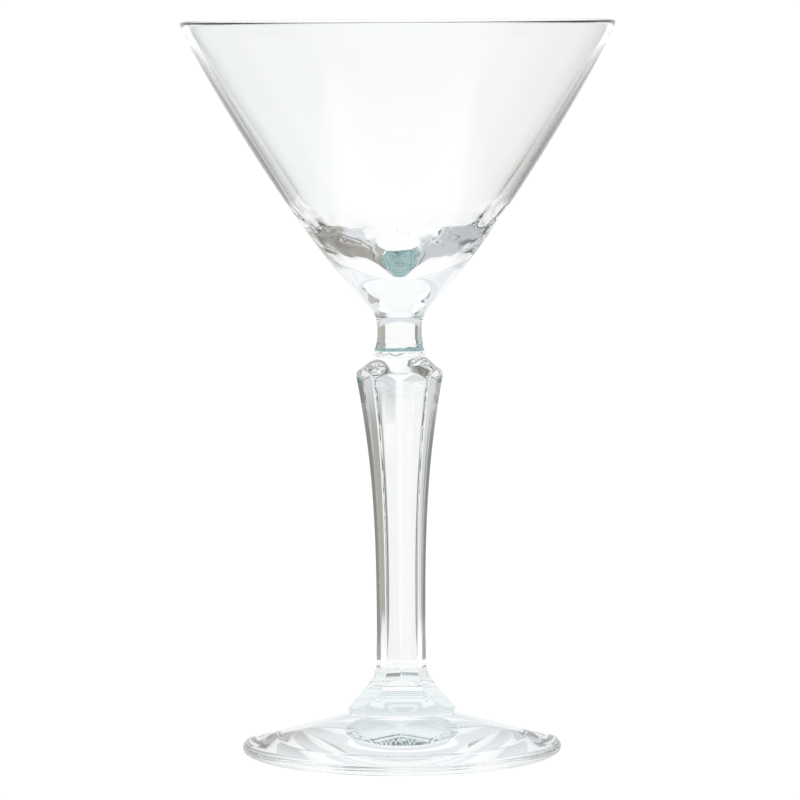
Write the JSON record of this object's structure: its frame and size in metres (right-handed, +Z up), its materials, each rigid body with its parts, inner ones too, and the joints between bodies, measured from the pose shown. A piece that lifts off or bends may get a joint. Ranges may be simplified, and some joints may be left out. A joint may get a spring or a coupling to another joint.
{
  "type": "martini glass",
  "caption": "Clear martini glass: wide conical bowl with a rounded lip, waisted neck, faceted tapering stem with a round shoulder and pad, and a shallow domed foot.",
  "frame": {"origin": "centre of the foot's flat resting ring, on the surface that the glass stands on", "axes": "+Z up along the axis of the glass; one flat of the stem faces -Y"},
  "size_m": [0.103, 0.103, 0.1744],
  "materials": {
    "clear_glass": "fire-polished, clear and colourless"
  },
  "bodies": {
    "root": {"bowl": "clear_glass", "stem": "clear_glass", "foot": "clear_glass"}
  },
  "joints": []
}
